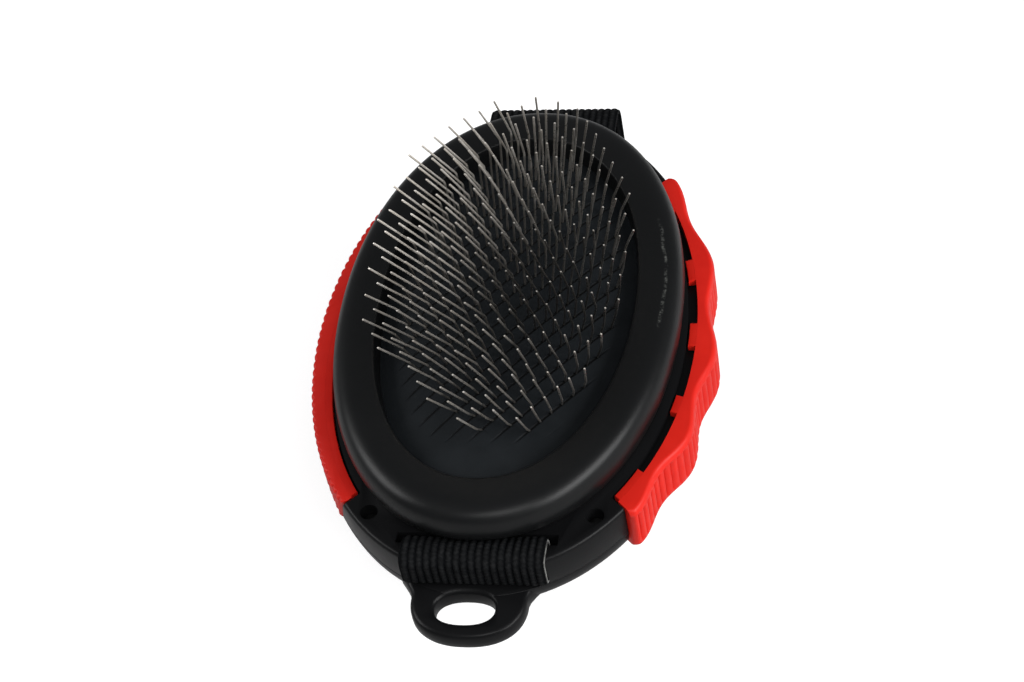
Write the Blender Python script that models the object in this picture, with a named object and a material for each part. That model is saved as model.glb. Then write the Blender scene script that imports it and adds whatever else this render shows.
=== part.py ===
"""A palm-held slicker brush lying on its back: +Z out through the pins, the hanging loop toward -Y."""

import math

import bmesh
import bpy
from mathutils import Vector

MM = 0.001
GAP = 0.3  # between pieces that touch, in mm like every length below

# heights count from the back of the shell, and the strap hangs STRAP_DROP below it
STRAP_DROP = 27.0
PARTING_Z = 4.6
TOP_Z = 12.0
FLOOR_Z = 9.4

# plan of the shell: an egg, wider toward the loop
BASE_A = 41.6
BASE_B = 64.2
BASE_Y = -0.4
EGG = -0.041
BASE_STEPS = 72

# head ring and cushion
HEAD_A = 36.7
HEAD_B = 58.66
HEAD_POWER = 2.1
HEAD_STEPS = 48
RIM_A = 27.35
RIM_B = 48.07
RIM_Z = 21.3
PAD_A = 26.9
PAD_B = 47.6
PAD_EDGE_Z = 17.0
PAD_CROWN = 2.6
PAD_THICK = 1.6
PAD_STEPS = 40

# pins: rows climb 45 degrees across the pad, each wire leans and then bends
WIRE_R = 0.23
ROW_STEP = (1.95, 2.35)
ROW_PITCH = 5.8
ROW_ANCHOR = (8.7, -33.5)
FIELD_A = 22.6
FIELD_B = 42.2
LOWER_LENGTH = 10.4
UPPER_LENGTH = 15.1
CROWN_R = 0.45

# grips: arcs of the egg, measured as its own angle in degrees
GRIP_START = -47.5
GRIP_END = 44.5
LEFT_SLANT = 6.0  # the left grip's loop end leans back by this much at the bottom
GRIP_INSET = 2.3
GRIP_BUMPS = (-46.0, -25.5, -5.0, 18.0, 43.0)
MOAT_DEPTH = 1.8
RIGHT_TEETH = ((-47.0, -38.0), (-21.5, -17.0), (-4.0, 2.0), (13.5, 19.5), (34.5, 44.0))
LEFT_TEETH = ((-47.0, 44.0),)

# strap and its slots
STRAP_W = 29.4
STRAP_T = 1.5
SLOT_HALF = 16.4
SLOT_Y = (54.6, 57.2)
LANE_Y = 56.0
FRONT_FACE_Y = 61.3
REAR_FACE_Y = 63.4
REAR_LANE_Y = 65.6
REAR_TOP_Z = 15.0
FRONT_TOP_Z = 13.05
SPAN_FLAT = 20.0
SPAN_POWER = 1.38
TAIL_OFFSET = 4.0
PATCH_T = 0.8

# hanging loop
LOOP_X = -1.6
LOOP_HALF = 11.9
LOOP_BELLY_Y = -64.5
LOOP_END_Y = -74.4
LOOP_T = 4.4
EYE_HALF = (6.1, 3.75)
EYE_AT = (-2.1, -67.2)

FRONT_SCREWS = (23.1, 49.7)
REAR_SCREWS = (22.0, 48.7)

MATERIALS = {
    "shell_black": ((0.012, 0.012, 0.013), 0.45, 0.0),
    "head_black": ((0.010, 0.010, 0.011), 0.28, 0.0),
    "grip_red": ((0.55, 0.015, 0.02), 0.5, 0.0),
    "pad_rubber": ((0.05, 0.055, 0.065), 0.7, 0.0),
    "foam_grey": ((0.2, 0.2, 0.2), 0.9, 0.0),
    "pin_steel": ((0.62, 0.62, 0.62), 0.25, 1.0),
    "strap_black": ((0.015, 0.015, 0.016), 0.85, 0.0),
    "fastener_black": ((0.02, 0.02, 0.02), 0.9, 0.0),
    "screw_steel": ((0.3, 0.3, 0.3), 0.35, 1.0),
}


def clear_scene():
    for obj in list(bpy.data.objects):
        bpy.data.objects.remove(obj)


def new_collection(name, hidden=False):
    group = bpy.data.collections.new(name)
    bpy.context.scene.collection.children.link(group)
    group.hide_render = hidden
    return group


def new_material(name):
    colour, roughness, metallic = MATERIALS[name]
    material = bpy.data.materials.new(name)
    material.use_nodes = True
    shader = material.node_tree.nodes["Principled BSDF"]
    shader.inputs["Base Color"].default_value = (*colour, 1.0)
    shader.inputs["Roughness"].default_value = roughness
    shader.inputs["Metallic"].default_value = metallic
    return material


def place(point):
    return Vector((point[0] * MM, point[1] * MM, (point[2] + STRAP_DROP) * MM))


def finish(mesh, obj, material):
    """Puts a new object into the parts, or among the cutters when it has no material."""
    if material is None:
        CUTTERS.objects.link(obj)
        obj.hide_render = True
        obj.display_type = "WIRE"
        return obj
    PARTS.objects.link(obj)
    mesh.materials.append(SURFACES[material])
    mesh.shade_smooth()
    mesh.set_sharp_from_angle(angle=math.radians(32))
    return obj


def mesh_object(name, bm, material=None):
    bmesh.ops.recalc_face_normals(bm, faces=bm.faces)
    mesh = bpy.data.meshes.new(name)
    bm.to_mesh(mesh)
    bm.free()
    return finish(mesh, bpy.data.objects.new(name, mesh), material)


def add_loft(bm, rings, closed=False):
    """Skins rings of equal length: capped at both ends, or joined end to end when closed."""
    loops = [[bm.verts.new(place(point)) for point in ring] for ring in rings]
    pairs = list(zip(loops, loops[1:]))
    if closed:
        pairs.append((loops[-1], loops[0]))
    else:
        bm.faces.new(loops[0])
        bm.faces.new(loops[-1])
    for lower, upper in pairs:
        for i in range(len(lower)):
            j = (i + 1) % len(lower)
            bm.faces.new((lower[i], lower[j], upper[j], upper[i]))


def loft(name, rings, material=None, closed=False):
    bm = bmesh.new()
    add_loft(bm, rings, closed)
    return mesh_object(name, bm, material)


def prism(name, outline, z0, z1, material=None):
    return loft(name, [[(x, y, z) for x, y in outline] for z in (z0, z1)], material)


def block(name, x, y, z, material=None):
    outline = [(x[0], y[0]), (x[1], y[0]), (x[1], y[1]), (x[0], y[1])]
    return prism(name, outline, z[0], z[1], material)


def disc(name, centre, radius, z0, z1, material=None, steps=16):
    turns = [2 * math.pi * i / steps for i in range(steps)]
    outline = [(centre[0] + radius * math.cos(t), centre[1] + radius * math.sin(t)) for t in turns]
    return prism(name, outline, z0, z1, material)


def boolean(obj, other, operation="DIFFERENCE"):
    modifier = obj.modifiers.new(other.name, "BOOLEAN")
    modifier.operation = operation
    modifier.solver = "EXACT"
    modifier.object = other


def oval(a, b, power, steps):
    points = []
    for i in range(steps):
        c = math.cos(2 * math.pi * i / steps)
        s = math.sin(2 * math.pi * i / steps)
        x = a * math.copysign(abs(c) ** (2 / power), c)
        y = b * math.copysign(abs(s) ** (2 / power), s)
        points.append((x, y))
    return points


def egg_point(degrees, offset):
    """A point of the shell's plan at its own angle, moved outward by offset."""
    t = math.radians(degrees)
    y = (BASE_B + offset) * math.sin(t)
    x = (BASE_A + offset) * math.cos(t) * (1 + EGG * y / BASE_B)
    return x, y + BASE_Y


def egg(offset, z):
    turns = [360 * i / BASE_STEPS for i in range(BASE_STEPS)]
    return [(*egg_point(t, offset), z) for t in turns]


def head_ring(a, b, z):
    return [(x, y, z) for x, y in oval(a, b, HEAD_POWER, HEAD_STEPS)]


def pad_ring(a, b, z):
    return [(x, y, z) for x, y in oval(a, b, 2.0, PAD_STEPS)]


def pad_top(x, y):
    reach = min(1.0, (x / PAD_A) ** 2 + (y / PAD_B) ** 2)
    return PAD_EDGE_Z + PAD_CROWN * (1 - reach**2)


def dome_rings(lift, scales):
    """Rings of the pad's dome from the edge inward, moved up by lift."""
    rings = []
    for scale in scales:
        z = PAD_EDGE_Z + PAD_CROWN * (1 - scale**4) + lift
        rings.append(pad_ring(PAD_A * scale, PAD_B * scale, z))
    return rings


def bump(degrees):
    """The right grip's finger bumps: 1 on a bump, 0 in the hollow between two."""
    marks = GRIP_BUMPS
    if degrees <= marks[0] or degrees >= marks[-1]:
        return 1.0
    for low, high in zip(marks, marks[1:]):
        if low <= degrees <= high:
            return 0.5 + 0.5 * math.cos(2 * math.pi * (degrees - low) / (high - low))


def grip_reach(side, degrees):
    if side > 0:
        return 0.2 + 2.0 * bump(degrees)
    return 1.1 + 0.8 * math.sin(math.radians(degrees * 1.6))


def grip_start(side, z):
    return GRIP_START + (0 if side > 0 else LEFT_SLANT * (TOP_Z - z) / TOP_Z)


def grip_outline(side, z, shrink, steps):
    """The grip's plan at one height: its outer face one way, its inner face back."""
    start, end = grip_start(side, z), GRIP_END
    outer = []
    for i in range(steps + 1):
        degrees = start + (end - start) * i / steps
        outer.append(egg_point(degrees, grip_reach(side, degrees) - shrink))
    inner = [egg_point(end + (start - end) * i / 20, -GRIP_INSET) for i in range(21)]
    return [(side * x, y) for x, y in outer + inner]


def make_grip(name, side):
    profile = ((0.4, 1.1), (1.4, 0.2), (11.0, 0.0), (TOP_Z, 0.8))
    rings = []
    for z, shrink in profile:
        rings.append([(x, y, z) for x, y in grip_outline(side, z, shrink, 56)])
    grip = loft(name, rings, "grip_red")
    for i, (low, high) in enumerate(RIGHT_TEETH if side > 0 else LEFT_TEETH):
        steps = 3 + int((high - low) / 5)
        outline = [egg_point(low + (high - low) * k / steps, -1.5) for k in range(steps + 1)]
        outline += [egg_point(high + (low - high) * k / steps, -3.9) for k in range(steps + 1)]
        outline = [(side * x, y) for x, y in outline]
        tooth = prism(f"{name}_tooth_{i}", outline, TOP_Z - MOAT_DEPTH + GAP, TOP_Z - 0.1)
        boolean(grip, tooth, "UNION")
    return grip


def grip_pocket(side):
    """What the shell halves lose where a grip wraps them."""
    spread = math.degrees(GAP / BASE_B)
    rings = []
    for z in (-2, 0.4, 1.4, 11.0, TOP_Z, TOP_Z + 2):
        start, end = grip_start(side, z) - spread, GRIP_END + spread
        inner = [egg_point(start + (end - start) * i / 20, -GRIP_INSET - GAP) for i in range(21)]
        low, high = egg_point(start, 8), egg_point(end, 8)
        outline = [*inner, high, (60, high[1]), (60, low[1]), low]
        rings.append([(side * x, y, z) for x, y in outline])
    return loft(f"cut_grip_{side}", rings)


def moat(side):
    """The shallow channel beside the head that the grip's teeth lie in."""
    angles = [GRIP_START - 0.4 + (GRIP_END - GRIP_START + 0.8) * i / 20 for i in range(21)]
    outline = [egg_point(t, -1) for t in angles]
    outline += [egg_point(t, -4.3) for t in reversed(angles)]
    outline = [(side * x, y) for x, y in outline]
    return prism(f"cut_moat_{side}", outline, TOP_Z - MOAT_DEPTH, TOP_Z + 1)


def strap_slot(side):
    low, high = sorted((side * SLOT_Y[0], side * SLOT_Y[1]))
    return block(f"cut_slot_{side}", (-SLOT_HALF, SLOT_HALF), (low, high), (-1, TOP_Z + 3))


def end_flat(name, side, face_y, z0):
    low, high = sorted((side * face_y, side * (face_y + 12)))
    return block(name, (-SLOT_HALF, SLOT_HALF), (low, high), (z0, TOP_Z + 1))


def screw_places():
    (front_x, front_y), (rear_x, rear_y) = FRONT_SCREWS, REAR_SCREWS
    return [(-front_x, -front_y), (front_x, -front_y), (-rear_x, rear_y), (rear_x, rear_y)]


def make_base_frame():
    rings = [egg(-0.1, PARTING_Z + GAP), egg(0, 6.5), egg(0, 11.2), egg(-0.25, 11.75), egg(-0.8, TOP_Z)]
    base = loft("base_frame", rings, "shell_black")
    outer = [[(x, y, z) for x, y in oval(32.6, 53.4, 2.0, PAD_STEPS)] for z in (11.0, 15.2)]
    inner = [[(x, y, z) for x, y in oval(27.8, 48.5, 2.0, PAD_STEPS)] for z in (15.2, 11.0)]
    boolean(base, loft("add_collar", outer + inner, closed=True), "UNION")
    hollow = oval(30, 45, 2.0, 40)
    boolean(base, prism("cut_hollow", hollow, 4, FLOOR_Z))
    for side in (-1, 1):
        boolean(base, CUT_POCKET[side])
        boolean(base, moat(side))
        boolean(base, CUT_SLOT[side])
    boolean(base, end_flat("cut_front_flat", -1, FRONT_FACE_Y, -2))
    boolean(base, end_flat("cut_rear_flat", 1, REAR_FACE_Y, -2))
    entry = block("cut_entry", (-SLOT_HALF + 1, SLOT_HALF - 1), (-66, -58), (4, 7.0))
    boolean(base, entry)
    for i, spot in enumerate(screw_places()):
        boolean(base, disc(f"cut_bore_{i}", spot, 1.85, 7.6, TOP_Z + 1))
        boolean(base, disc(f"cut_shank_{i}", spot, 1.1, 4, 8))


def loop_outline(inset):
    """A tongue from the shell to a half oval."""
    half = LOOP_HALF - inset
    reach = LOOP_BELLY_Y - LOOP_END_Y - inset
    points = [(LOOP_X - half, -60.0)]
    for i in range(19):
        t = math.pi * i / 18
        x = -half * math.copysign(abs(math.cos(t)) ** 0.87, math.cos(t))
        points.append((LOOP_X + x, LOOP_BELLY_Y - reach * math.sin(t) ** 0.87))
    points.append((LOOP_X + half, -60.0))
    return points


def make_back_cover():
    rings = [egg(-2.2, 0), egg(-1.2, 0.35), egg(-0.5, 1.3), egg(-0.1, PARTING_Z)]
    cover = loft("back_cover", rings, "shell_black")
    steps = ((0.1, 1.0), (0.9, 0.2), (LOOP_T - 0.9, 0.2), (LOOP_T - 0.1, 1.0))
    tongue = []
    for z, inset in steps:
        tongue.append([(x, y, z) for x, y in loop_outline(inset)])
    boolean(cover, loft("add_tongue", tongue), "UNION")
    eye = []
    for z, flare in ((-1, 1.0), (0.9, 0), (3.5, 0), (5.4, 1.0)):
        outline = oval(EYE_HALF[0] + flare, EYE_HALF[1] + flare, 2.3, 28)
        eye.append([(EYE_AT[0] + x, EYE_AT[1] + y, z) for x, y in outline])
    boolean(cover, loft("cut_eye", eye))
    boolean(cover, prism("cut_cover_hollow", oval(29.5, 44.5, 2.0, 40), 2.2, 6))
    for side in (-1, 1):
        boolean(cover, CUT_POCKET[side])
        boolean(cover, CUT_SLOT[side])
    boolean(cover, end_flat("cut_cover_flat", 1, REAR_FACE_Y, -2))
    for i, spot in enumerate(screw_places()):
        boolean(cover, disc(f"cut_boss_{i}", spot, 1.05, 1.2, 6))


def make_head():
    profile = (
        (-1.9, -2.26, 12.3), (-0.45, -0.6, 14.4), (0, 0, 17.0), (-0.35, -0.4, 19.2),
        (-1.3, -1.45, 20.9), (-2.8, -3.1, 21.8), (-4.6, -5.2, 22.05), (-8.9, -10.1, 21.75),
        (RIM_A - HEAD_A, RIM_B - HEAD_B, RIM_Z), (PAD_A - HEAD_A, PAD_B - HEAD_B, 17.1),
        (-7.6, -9.0, 17.0), (-7.3, -8.6, 19.8), (-3.2, -3.5, 18.9), (-2.9, -3.3, 12.3),
    )
    rings = [head_ring(HEAD_A + da, HEAD_B + db, z) for da, db, z in profile]
    head = loft("head_bezel", rings, "head_black", closed=True)
    for side, height in ((-1, 14.5), (1, 16.4)):
        low, high = sorted((side * 54.4, side * 66))
        notch = block(f"cut_notch_{side}", (-SLOT_HALF, SLOT_HALF), (low, high), (10, height))
        boolean(head, notch)


def pin_shape(x, y):
    """A wire's foot, root, bend and tip for a root at x, y."""
    root = Vector((x, y, pad_top(x, y)))
    lower = Vector((0.0063 * x + 0.135, 0.0111 * y - 0.426, 1.0))
    fan = max(0.0, (y - 0.8 * x - 5) / 40)
    inner = min(1.0, max(0.0, x / 12 + 1))
    lean = 0.16 * inner * min(1.0, max(0.0, (y + 0.6 * x - 12) / 25)) - 0.15 * fan * (1 - inner)
    upper = Vector((0.0103 * x - 0.033 + lean, 0.0005 * y - 0.579 + 0.19 * fan, 1.0)).normalized()
    foot = root - lower * (PAD_THICK + GAP + CROWN_R)
    bend = root + lower.normalized() * LOWER_LENGTH
    return foot, root, bend, bend + upper * UPPER_LENGTH


def in_field(x, y):
    inside = ((x - 0.6) / FIELD_A) ** 2 + ((y - 3) / FIELD_B) ** 2 < 1
    return inside and y > -34.3 and y + 1.2 * x > -38.2


def pin_rows():
    """The roots, row by row from the lower right to the upper left."""
    rows = []
    for j in range(-9, 18):
        row = []
        for i in range(-30, 31):
            x = ROW_ANCHOR[0] + ROW_STEP[0] * i
            y = ROW_ANCHOR[1] + ROW_STEP[1] * i + ROW_PITCH * j
            if in_field(x, y):
                row.append((x, y))
        if len(row) > 2:
            rows.append(row)
    return rows


def wire_curve(name, lines, radius):
    """Square wires along the lines, as one mesh."""
    curve = bpy.data.curves.new(name, "CURVE")
    curve.dimensions = "3D"
    curve.bevel_depth = radius * MM
    curve.bevel_resolution = 0
    curve.use_fill_caps = True
    for line in lines:
        spline = curve.splines.new("POLY")
        spline.points.add(len(line) - 1)
        for point, at in zip(spline.points, line):
            point.co = (*place(at), 1)
    holder = bpy.data.objects.new(name, curve)
    bpy.context.scene.collection.objects.link(holder)
    bpy.context.view_layer.update()
    solid = holder.evaluated_get(bpy.context.evaluated_depsgraph_get())
    mesh = bpy.data.meshes.new_from_object(solid)
    bpy.data.objects.remove(holder)
    bm = bmesh.new()
    bm.from_mesh(mesh)
    bmesh.ops.remove_doubles(bm, verts=bm.verts, dist=1e-6)
    bmesh.ops.recalc_face_normals(bm, faces=bm.faces)
    bm.to_mesh(mesh)
    bm.free()
    mesh.materials.clear()
    return mesh


def make_pin_row(number, row):
    name = f"pin_row_{number:02d}"
    shapes = [pin_shape(x, y) for x, y in row]
    feet = [shape[0] for shape in shapes]
    along = (feet[-1] - feet[0]).normalized() * 0.9
    stations = feet[:: max(1, len(feet) // 5)]
    if stations[-1] != feet[-1]:
        stations.append(feet[-1])
    stations = [stations[0] - along, *stations[1:-1], stations[-1] + along]
    bar_mesh = wire_curve(name, [stations], CROWN_R)
    bar = finish(bar_mesh, bpy.data.objects.new(name, bar_mesh), "pin_steel")
    wires_mesh = wire_curve(f"{name}_wires", [[s[0], s[2], s[3]] for s in shapes], WIRE_R)
    wires = finish(wires_mesh, bpy.data.objects.new(f"{name}_wires", wires_mesh), None)
    boolean(bar, wires, "UNION")


def row_slit(number, row):
    """A thin slot through the pad that follows the lean of one row's wires."""
    picks = [row[0], row[len(row) // 2], row[-1]]
    shapes = [pin_shape(x, y) for x, y in picks]
    across = Vector((ROW_STEP[1], -ROW_STEP[0], 0)).normalized() * 0.55
    along = Vector((*ROW_STEP, 0)).normalized() * 0.7
    rings = []
    for i, (foot, root, _, _) in enumerate(shapes):
        lean = (root - foot).normalized()
        slide = along * (i - 1)
        low = root - lean * 4.0 + slide
        high = root + lean * 2.5 + slide
        rings.append([low - across, low + across, high + across, high - across])
    return loft(f"cut_slit_{number:02d}", rings)


def make_pad(rows):
    under = PAD_EDGE_Z - 0.3 - 1.2
    scales = (0.965, 0.88, 0.74, 0.52, 0.26)
    rings = [pad_ring(31.4, 52.2, under), pad_ring(31.4, 52.2, under + 1.2),
             pad_ring(27.4, 48.1, under + 1.2)]
    rings += dome_rings(0, scales)
    rings += list(reversed(dome_rings(-PAD_THICK, scales[1:])))
    rings += [pad_ring(PAD_A * 0.965, PAD_B * 0.965, under)]
    pad = loft_dome("pin_pad", rings, len(scales) + 3)
    for number, row in enumerate(rows, 1):
        boolean(pad, row_slit(number, row))


def loft_dome(name, rings, split):
    """A domed sheet: the first rings run up to the crown, the rest run back down below it."""
    bm = bmesh.new()
    loops = [[bm.verts.new(place(point)) for point in ring] for ring in rings]
    upper, lower = loops[:split], loops[split:]
    bm.faces.new(upper[-1])
    bm.faces.new(lower[0])
    for group in (upper, lower + upper[:1]):
        for near, far in zip(group, group[1:]):
            for i in range(PAD_STEPS):
                j = (i + 1) % PAD_STEPS
                bm.faces.new((near[i], near[j], far[j], far[i]))
    return mesh_object(name, bm, "pad_rubber")


def make_foam():
    lift = -(PAD_THICK + 2 * CROWN_R + 2 * GAP + 0.5)
    rings = [pad_ring(PAD_A * 0.94, PAD_B * 0.965, TOP_Z + GAP)]
    rings += dome_rings(lift, (0.93, 0.74, 0.4))
    loft("foam_cushion", rings, "foam_grey")


def make_screws():
    for i, spot in enumerate(screw_places(), 1):
        head = disc(f"screw_{i:02d}", spot, 1.6, 7.9, 9.2, "screw_steel")
        boolean(head, disc(f"add_shank_{i}", spot, 0.8, 1.5, 8.4, steps=12), "UNION")
        x, y = spot
        boolean(head, block(f"cut_drive_{i}a", (x - 1, x + 1), (y - 0.2, y + 0.2), (8.6, 10)))


def span_point(k):
    """The strap's span from the rear lane, k = 0, to the front lane, k = 1: place and outward normal."""
    turn = math.pi * k
    c, s = math.cos(turn), math.sin(turn)
    reach = LANE_Y - SPAN_FLAT
    depth = STRAP_DROP - STRAP_T / 2
    y = math.copysign(abs(c) ** (2 / SPAN_POWER), c) * reach + math.copysign(SPAN_FLAT, c)
    z = -depth * s ** (2 / SPAN_POWER)
    return y, z


def span_path(first, last, steps):
    return [span_point(first + (last - first) * i / steps) for i in range(steps + 1)]


def corner(centre, radius, start, end):
    turns = [math.radians(start + (end - start) * i / 4) for i in range(5)]
    return [(centre[0] + radius * math.cos(t), centre[1] + radius * math.sin(t)) for t in turns]


def strap_drift(y):
    """The webbing lies a little askew: to one side at the rear."""
    return 0.7 + 0.016 * y


def path_normals(path):
    normals = []
    for i in range(len(path)):
        a = path[max(0, i - 1)]
        b = path[min(len(path) - 1, i + 1)]
        run = math.hypot(b[0] - a[0], b[1] - a[1])
        normals.append(((b[1] - a[1]) / run, -(b[0] - a[0]) / run))
    return normals


def ribbon(name, path, width, thickness, material):
    rings = []
    for (y, z), (ny, nz) in zip(path, path_normals(path)):
        x = strap_drift(y)
        low = (y - ny * thickness / 2, z - nz * thickness / 2)
        high = (y + ny * thickness / 2, z + nz * thickness / 2)
        rings.append([(x - width / 2, *low), (x + width / 2, *low),
                      (x + width / 2, *high), (x - width / 2, *high)])
    return loft(name, rings, material)


def strap_path():
    """From the rear wall, over the rear bar, under the palm, over the front bar, into the shell."""
    front_y, front_z = FRONT_FACE_Y + 1.0, FRONT_TOP_Z
    path = [(REAR_LANE_Y, -1.2), (REAR_LANE_Y, 4), (REAR_LANE_Y, 9)]
    path += corner((REAR_LANE_Y - 3.4, REAR_TOP_Z - 3.4), 3.4, 0, 90)
    path += corner((LANE_Y + 2.4, REAR_TOP_Z - 2.4), 2.4, 90, 180)
    path += [(LANE_Y, 8), (LANE_Y, 3)]
    path += span_path(0.0, 0.46, 16)[:-1]
    path += [(y, -(STRAP_DROP - STRAP_T / 2)) for y in (20, 18, 0, -18, -20)]
    path += span_path(0.54, 1.0, 16)[1:]
    path += [(-LANE_Y, 3), (-LANE_Y, 8)]
    path += corner((-LANE_Y - 1.5, front_z - 1.5), 1.5, 0, 90)
    path += corner((-front_y + 1.5, front_z - 1.5), 1.5, 90, 180)
    path += [(-front_y, 8.6)]
    path += corner((-front_y + 1.1, 7.05), 1.1, 180, 270)
    path += [(-59.4, 5.95)]
    return path


def beside_span(first, last, steps, offset):
    """A line at a distance outside the span, with its first direction."""
    base = span_path(first, last, steps)
    line = []
    for (y, z), (ny, nz) in zip(base, path_normals(base)):
        sign = 1 if ny * (y - SPAN_FLAT) + nz * z > 0 else -1
        line.append((y + sign * ny * offset, z + sign * nz * offset))
    return line


def tail_path():
    """The free end: down from the rear wall, then in along the span."""
    line = beside_span(0.2, 0.322, 8, TAIL_OFFSET)
    start = (REAR_LANE_Y, -1.2 - GAP)
    run = math.hypot(line[0][0] - start[0], line[0][1] - start[1])
    step = math.hypot(line[1][0] - line[0][0], line[1][1] - line[0][1])
    slope = [(line[1][i] - line[0][i]) / step for i in (0, 1)]
    lead = []
    for k in range(10):
        t = k / 10
        far = t * t * (3 - 2 * t)
        pull, push = run * t * (1 - t) ** 2, -run * t * t * (1 - t)
        y = start[0] + (line[0][0] - start[0]) * far + push * slope[0]
        z = start[1] + (line[0][1] - start[1]) * far - pull + push * slope[1]
        lead.append((y, z))
    return lead + line


def make_strap():
    ribbon("strap_webbing", strap_path(), STRAP_W, STRAP_T, "strap_black")
    ribbon("strap_tail", tail_path(), STRAP_W, STRAP_T, "strap_black")
    near = STRAP_T / 2 + GAP + PATCH_T / 2
    far = TAIL_OFFSET - near
    ribbon("loop_patch", beside_span(0.19, 0.345, 10, near), 25, PATCH_T, "fastener_black")
    ribbon("hook_patch", beside_span(0.205, 0.315, 8, far), 25, PATCH_T, "fastener_black")


clear_scene()
PARTS = new_collection("bristle_brush")
CUTTERS = new_collection("cutters", hidden=True)
SURFACES = {name: new_material(name) for name in MATERIALS}
CUT_POCKET = {side: grip_pocket(side) for side in (-1, 1)}
CUT_SLOT = {side: strap_slot(side) for side in (-1, 1)}
ROWS = pin_rows()
make_base_frame()
make_back_cover()
make_grip("grip_right", 1)
make_grip("grip_left", -1)
make_head()
make_foam()
make_pad(ROWS)
for index, pin_row in enumerate(ROWS, 1):
    make_pin_row(index, pin_row)
make_screws()
make_strap()
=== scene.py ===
"""Looks for the slicker brush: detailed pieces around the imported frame, lights, floor and camera.

Lengths are in mm from the back of the shell at z = 0, and place() turns them into the frame's
metres. The materials and the stage are in metres. The pins point up, the hanging loop is at the
-y end, and the strap hangs below."""

import math
import random

import bmesh
import bpy
from mathutils import Matrix, Vector


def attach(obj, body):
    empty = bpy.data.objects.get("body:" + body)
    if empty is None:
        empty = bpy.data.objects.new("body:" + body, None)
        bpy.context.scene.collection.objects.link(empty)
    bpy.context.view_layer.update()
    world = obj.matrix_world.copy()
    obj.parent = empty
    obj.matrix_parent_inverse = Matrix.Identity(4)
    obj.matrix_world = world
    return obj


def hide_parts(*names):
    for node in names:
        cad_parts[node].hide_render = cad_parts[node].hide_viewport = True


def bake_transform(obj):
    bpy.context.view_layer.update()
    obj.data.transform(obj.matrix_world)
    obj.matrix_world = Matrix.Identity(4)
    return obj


MM = 0.001
DROP = 27.0  # how far the strap's underside hangs below the shell's back

# the shell, head and pad as the CAD has them
BASE_A, BASE_B, BASE_Y, EGG = 41.6, 64.2, -0.4, -0.041
PARTING_Z, TOP_Z, FLOOR_Z = 4.6, 12.0, 9.4
HEAD_A, HEAD_B, HEAD_POWER = 36.7, 58.66, 2.1
PAD_A, PAD_B, PAD_EDGE_Z, PAD_CROWN, PAD_THICK = 26.9, 47.6, 17.0, 2.6, 1.6

# pins: each row climbs across the pad by ROW_STEP, and rows stand ROW_PITCH apart in y
WIRE_R, WIRE_SIDES = 0.23, 10
ROW_STEP, ROW_PITCH, ROW_ANCHOR = (1.95, 2.35), 5.8, (8.7, -33.5)
FIELD_A, FIELD_B, FIELD_X, FIELD_Y = 22.6, 42.2, 0.6, 3
LOWER_LENGTH, UPPER_LENGTH = 10.4, 15.1

# grips: places along their arcs are in degrees
GRIP_START, GRIP_END, GRIP_INSET, LEFT_SLANT = -47.5, 44.5, 2.3, 6.0
GRIP_BUMPS = (-46.0, -25.5, -5.0, 18.0, 43.0)
MOAT_DEPTH = 1.8
RIGHT_TEETH = ((-47.0, -38.0), (-21.5, -17.0), (-4.0, 2.0), (13.5, 19.5), (34.5, 44.0))
LEFT_TEETH = ((-47.0, 44.0),)
RIB_PITCH, RIB_DEPTH = 2.15, 0.72

# strap: a lane is where the webbing passes a bar, and the span is its part below the shell
STRAP_W, STRAP_T, STRAP_RIBS, STRAP_RIB_HEIGHT, SELVEDGE_W = 29.4, 1.5, 19, 0.27, 0.45
SLOT_HALF, SLOT_Y, LANE_Y = 16.4, (54.6, 57.2), 56.0
FRONT_FACE_Y, REAR_FACE_Y, REAR_LANE_Y = 61.3, 63.4, 65.6
REAR_TOP_Z, FRONT_TOP_Z, SPAN_FLAT, SPAN_POWER = 15.0, 13.05, 20.0, 1.38
SPAN_Z = -(DROP - STRAP_T / 2)
FOLD_Z = -1.2  # where the free end leaves the strap
TAIL_OFFSET, PATCH_T, PATCH_W, PATCH_RIBS, PATCH_GAP = 4.0, 0.8, 25, 30, 0.3

LOOP_X, LOOP_HALF, LOOP_BELLY_Y, LOOP_END_Y = -1.6, 11.9, -64.5, -74.4
EYE_HALF, EYE_AT = (6.1, 3.75), (-2.1, -67.2)
FRONT_SCREWS = (23.1, 49.7)
REAR_SCREWS = (22.0, 48.7)

# painted shade and wear: the wires are painted darker around the point below, and the head is
# rubbed at SCUFF_REACH of its oval
WIRE_SHADE_AT = (15.0, -10.0)
SCUFF_REACH, SCUFF_Y = 0.905, (-9, 23)

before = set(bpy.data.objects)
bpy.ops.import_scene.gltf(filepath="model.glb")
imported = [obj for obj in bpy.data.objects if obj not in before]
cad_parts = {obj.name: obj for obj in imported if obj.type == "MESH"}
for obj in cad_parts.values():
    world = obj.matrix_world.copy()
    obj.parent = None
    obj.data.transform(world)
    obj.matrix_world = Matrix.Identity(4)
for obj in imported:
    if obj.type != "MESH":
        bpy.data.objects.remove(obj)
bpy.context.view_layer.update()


# ---------- helpers ----------

def place(point):
    """A point in mm as the frame has it."""
    return Vector((point[0] * MM, point[1] * MM, (point[2] + DROP) * MM))


def add_loft(bm, rings, closed=False, cap=True):
    """Skins a row of rings, with a cap on each end or joined end to end."""
    loops = [[bm.verts.new(place(point)) for point in ring] for ring in rings]
    pairs = list(zip(loops, loops[1:]))
    if closed:
        pairs.append((loops[-1], loops[0]))
    elif cap:
        bm.faces.new(loops[0])
        bm.faces.new(loops[-1])
    for lower, upper in pairs:
        for i in range(len(lower)):
            j = (i + 1) % len(lower)
            bm.faces.new((lower[i], lower[j], upper[j], upper[i]))


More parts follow.
